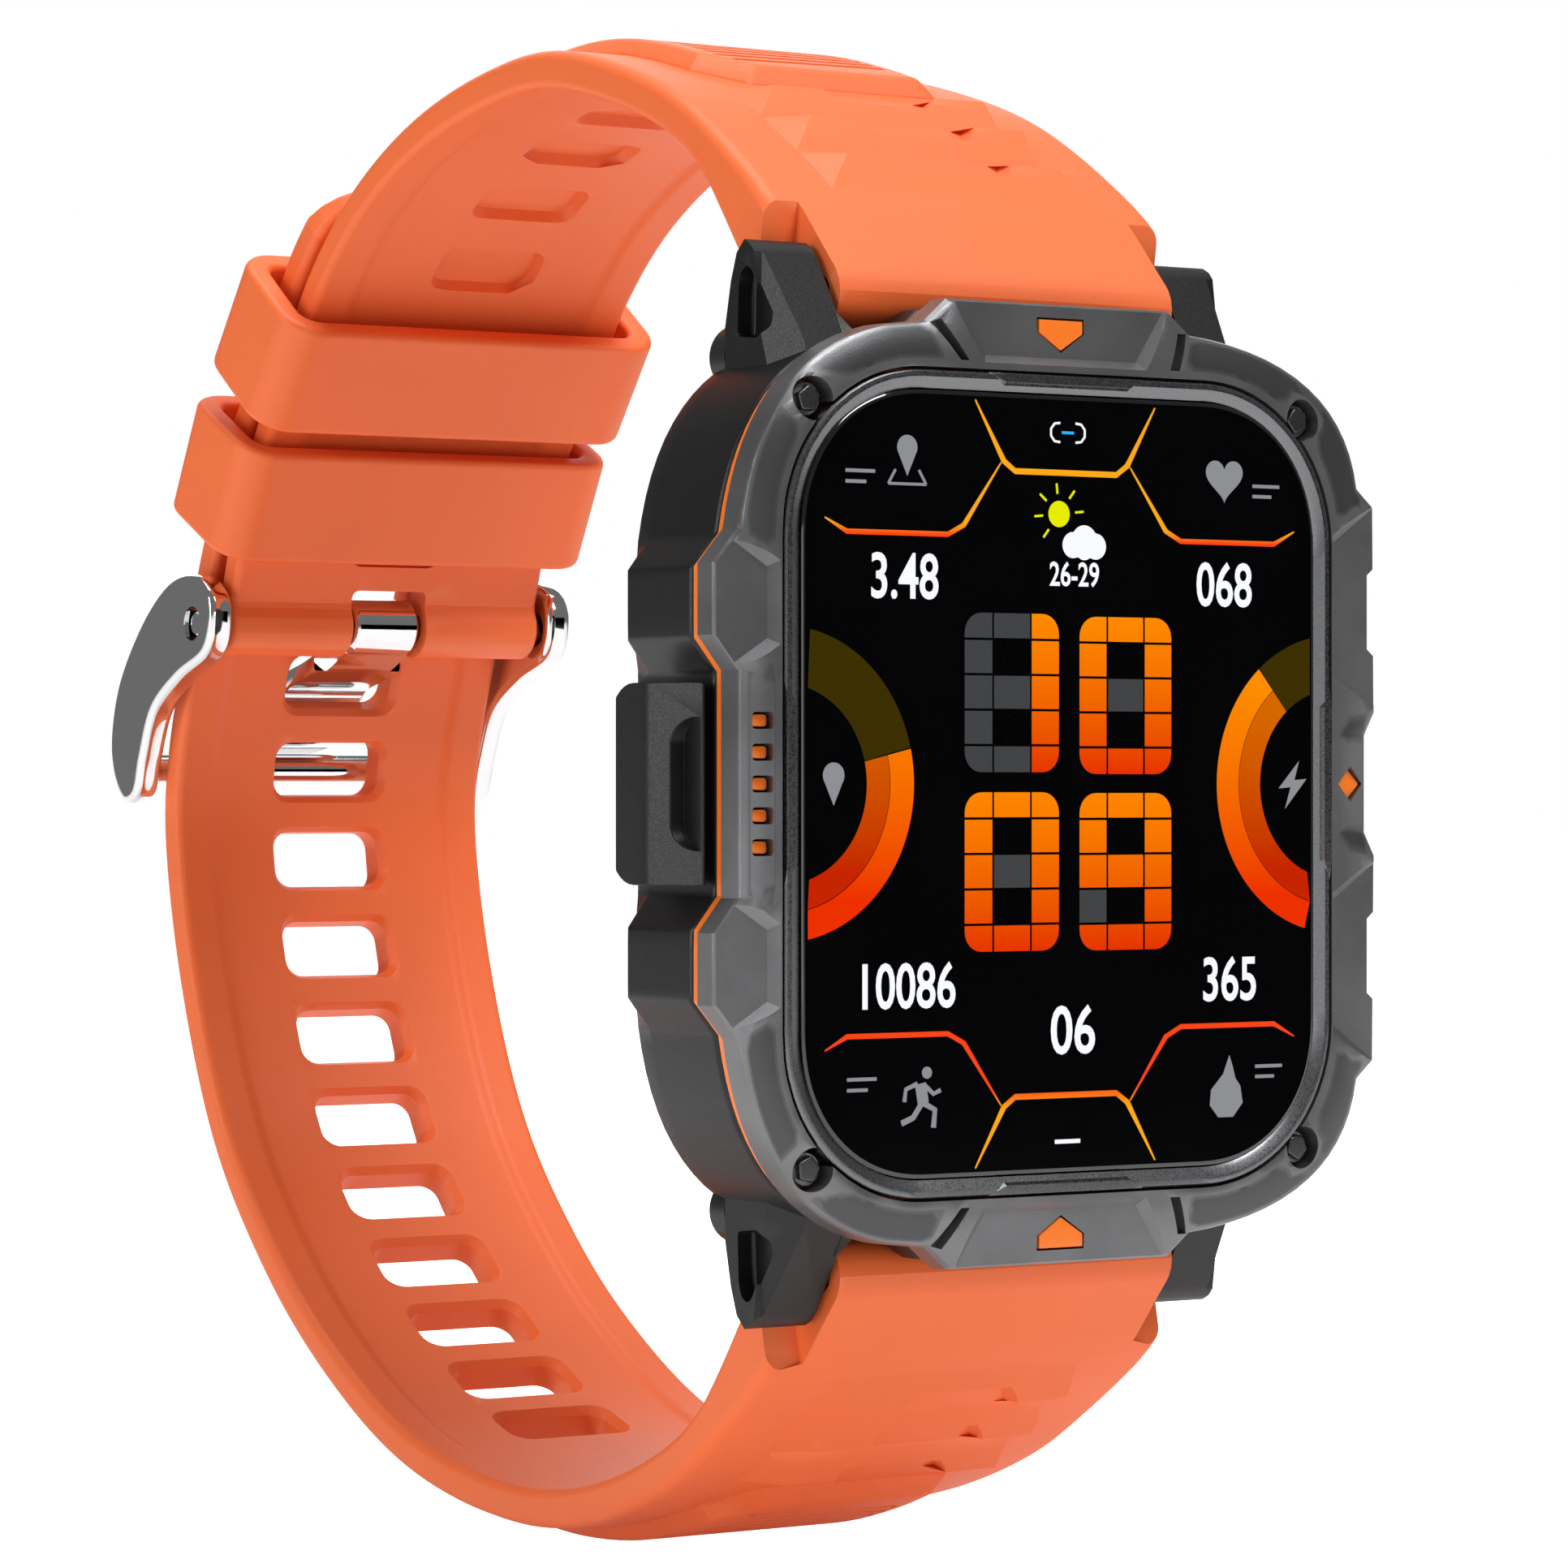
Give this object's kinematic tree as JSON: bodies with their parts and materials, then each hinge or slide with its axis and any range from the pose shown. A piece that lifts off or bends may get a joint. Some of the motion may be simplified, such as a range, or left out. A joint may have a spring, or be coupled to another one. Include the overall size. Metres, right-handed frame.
{
  "type": "gps running watch",
  "caption": "Sports wrist watch with a display, crown, push button and a buckled pin-buckle strap with keepers.",
  "frame": {"origin": "centre of the flat wrist face on the sensor window at the back of the case", "axes": "+Y out of the wrist face towards the wrist, -Y out of the display, +Z twelve o'clock, +X crown side"},
  "size_m": [0.0487, 0.0913, 0.091],
  "materials": {
    "gunmetal": "satin grey coat",
    "bright_rim": "fine brushed",
    "screw_steel": "dark satin",
    "case_polymer": "fine texture",
    "orange_trim": "smooth",
    "strap_elastomer": "soft satin",
    "cover_glass": "polished",
    "display": "dial graphics",
    "sensor_glass": "polished",
    "buckle_chrome": "polished",
    "inner_metal": "brushed",
    "contact_gold": "plated",
    "circuit_board": "solder mask",
    "battery_wrap": "foil",
    "seal_rubber": "matte"
  },
  "bodies": {
    "case": {"middle_case": "case_polymer", "bezel": "gunmetal", "display_trim_ring": "bright_rim", "crystal": "cover_glass", "display_panel": "display", "accent_ring": "orange_trim", "bezel_screw_1": "screw_steel", "bezel_screw_2": "screw_steel", "bezel_screw_3": "screw_steel", "bezel_screw_4": "screw_steel", "side_guard": "case_polymer", "back_cover": "case_polymer", "back_gasket": "seal_rubber", "sensor_window": "sensor_glass", "charging_pin_1": "contact_gold", "charging_pin_2": "contact_gold", "back_screw_1": "screw_steel", "back_screw_2": "screw_steel", "back_screw_3": "screw_steel", "back_screw_4": "screw_steel", "inner_frame": "inner_metal", "gps_antenna": "contact_gold", "main_board": "circuit_board", "battery": "battery_wrap", "vibration_motor": "inner_metal", "buzzer": "case_polymer", "sensor_board": "circuit_board", "crown_gasket": "seal_rubber", "crown_switch": "case_polymer", "button_switch": "case_polymer", "spring_bar_upper": "inner_metal", "spring_bar_lower": "inner_metal"},
    "crown_slider": {"crown_slider": "inner_metal"},
    "crown": {"crown_knob": "gunmetal"},
    "button": {"button_cap": "gunmetal"},
    "strap_upper": {"strap_upper": "strap_elastomer", "buckle_pin": "buckle_chrome", "keeper_fixed": "strap_elastomer"},
    "strap_lower": {"strap_lower": "strap_elastomer"},
    "keeper": {"keeper_sliding": "strap_elastomer"},
    "buckle_frame": {"buckle_frame": "buckle_chrome"},
    "buckle_tongue": {"buckle_tongue": "buckle_chrome"}
  },
  "joints": [
    {"name": "crown_push", "type": "slide", "parent": "case", "child": "crown_slider", "axis": [-1, 0, 0], "range_m": [0, 0.0008], "stiffness_N_per_m": 600, "springref_m": -0.0008},
    {"name": "crown_spin", "type": "hinge", "parent": "crown_slider", "child": "crown", "pos_m": [0.0223, -0.0072, 0.0102], "axis": [1, 0, 0], "continuous": true},
    {"name": "button_press", "type": "slide", "parent": "case", "child": "button", "axis": [-1, 0, 0], "range_m": [0, 0.0006], "stiffness_N_per_m": 600, "springref_m": -0.0006},
    {"name": "strap_upper_hinge", "type": "hinge", "parent": "case", "child": "strap_upper", "pos_m": [0, -0.0057, 0.028], "axis": [1, 0, 0], "range_deg": [-0.2, 0.2]},
    {"name": "strap_lower_hinge", "type": "hinge", "parent": "case", "child": "strap_lower", "pos_m": [0, -0.0057, -0.028], "axis": [1, 0, 0], "range_deg": [-0.2, 0.2]},
    {"name": "keeper_slide", "type": "slide", "parent": "strap_upper", "child": "keeper", "axis": [0, 0.5971, -0.8022], "range_m": [-0.003, 0.0015]},
    {"name": "buckle_frame_hinge", "type": "hinge", "parent": "strap_upper", "child": "buckle_frame", "pos_m": [0, 0.0658, 0.0108], "axis": [1, 0, 0], "range_deg": [-1.5, 1]},
    {"name": "buckle_tongue_hinge", "type": "hinge", "parent": "strap_upper", "child": "buckle_tongue", "pos_m": [0, 0.0658, 0.0108], "axis": [1, 0, 0], "range_deg": [-0.5, 2.5]}
  ]
}
